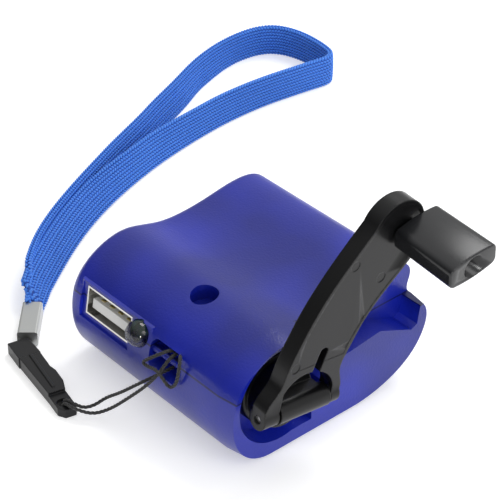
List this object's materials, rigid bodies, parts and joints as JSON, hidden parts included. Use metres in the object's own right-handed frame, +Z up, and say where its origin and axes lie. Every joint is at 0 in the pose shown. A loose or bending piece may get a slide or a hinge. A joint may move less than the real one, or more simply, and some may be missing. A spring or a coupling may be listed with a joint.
{
  "type": "hand crank phone charger",
  "caption": "Palm-sized hand crank charger with a folding crank arm, a turning grip, a lamp, a socket for a charging lead and a wrist strap.",
  "frame": {"origin": "a point on the flat of the base, midway between the two sides, below the valley of the top", "axes": "+Z up from the base, +X out of the side that carries the crank, -Y out of the socket end"},
  "size_m": [0.1356, 0.1234, 0.0485],
  "materials": {
    "blue_plastic": "clear deep blue moulded plastic, fine matt grain",
    "black_plastic": "black moulded plastic, satin",
    "knob_plastic": "black moulded plastic, smooth",
    "clip_plastic": "black moulded plastic, satin",
    "plated_steel": "nickel plated sheet",
    "socket_plastic": "white moulded plastic",
    "gold_contact": "gold plated spring contact",
    "lamp_epoxy": "water clear cast resin",
    "board_green": "green solder mask",
    "component_black": "black moulded components",
    "can_aluminium": "sleeved aluminium can",
    "gear_nylon": "natural nylon",
    "plate_plastic": "dark grey moulded plastic",
    "bright_steel": "bright drawn steel",
    "screw_steel": "zinc plated steel",
    "bush_brass": "turned brass",
    "magnet_ferrite": "sintered ferrite",
    "core_iron": "stacked iron sheet",
    "copper_wire": "enamelled copper wire",
    "cord_black": "braided black cord",
    "ribbon_blue": "woven light blue ribbon",
    "ferrule_metal": "satin nickel plated sheet"
  },
  "bodies": {
    "case": {"bottom_shell": "blue_plastic", "top_shell": "blue_plastic", "clip_body": "clip_plastic", "clip_collar": "clip_plastic", "usb_shell": "plated_steel", "usb_tongue": "socket_plastic", "usb_contacts": "gold_contact", "led": "lamp_epoxy", "circuit_board": "board_green", "rectifier_diodes": "component_black", "regulator": "component_black", "resistors": "component_black", "capacitor": "can_aluminium", "coil_bobbin": "gear_nylon", "inner_gear_plate": "plate_plastic", "outer_gear_plate": "plate_plastic", "generator_bracket": "plate_plastic", "gearbox_pillars": "plate_plastic", "first_idler_pin": "bright_steel", "second_idler_pin": "bright_steel", "case_screws": "screw_steel", "gearbox_screws": "screw_steel", "shaft_bush": "bush_brass", "stator_core": "core_iron", "coil_winding": "copper_wire", "strap_cord": "cord_black", "ribbon_strap": "ribbon_blue", "strap_ferrule": "ferrule_metal"},
    "crank": {"crank_hub": "black_plastic", "crank_shaft": "bright_steel", "drive_gear": "gear_nylon"},
    "arm": {"crank_arm": "black_plastic", "hinge_pin": "bright_steel", "knob_axle": "bright_steel"},
    "grip": {"knob": "knob_plastic"},
    "idler_one": {"first_idler": "gear_nylon"},
    "idler_two": {"second_idler": "gear_nylon"},
    "rotor": {"rotor_pinion": "gear_nylon", "rotor_shaft": "bright_steel", "magnet_rotor": "magnet_ferrite"}
  },
  "joints": [
    {"name": "crank_spin", "type": "hinge", "parent": "case", "child": "crank", "pos_m": [0.02, -0.0126, 0.0126], "axis": [1, 0, 0], "continuous": true},
    {"name": "arm_fold", "type": "hinge", "parent": "crank", "child": "arm", "pos_m": [0.0268, -0.0126, 0.0126], "axis": [0, 0.9903, -0.1392], "range_deg": [0, 100]},
    {"name": "grip_spin", "type": "hinge", "parent": "arm", "child": "grip", "pos_m": [0.03163, 0.00961, 0.042], "axis": [0.9962, -0.0121, -0.0863], "continuous": true},
    {"name": "idler_one_spin", "type": "hinge", "parent": "case", "child": "idler_one", "pos_m": [0.012, -0.00311, 0.00952], "axis": [1, 0, 0], "continuous": true},
    {"name": "idler_two_spin", "type": "hinge", "parent": "case", "child": "idler_two", "pos_m": [0.01, 0.00628, 0.01186], "axis": [1, 0, 0], "continuous": true},
    {"name": "rotor_spin", "type": "hinge", "parent": "case", "child": "rotor", "pos_m": [0, 0.01591, 0.01287], "axis": [1, 0, 0], "continuous": true}
  ],
  "couplings": [
    {"joint": "idler_one_spin", "follows": "crank_spin", "ratio": -2.6667},
    {"joint": "idler_two_spin", "follows": "crank_spin", "ratio": 6.8148},
    {"joint": "rotor_spin", "follows": "crank_spin", "ratio": -17.416}
  ]
}
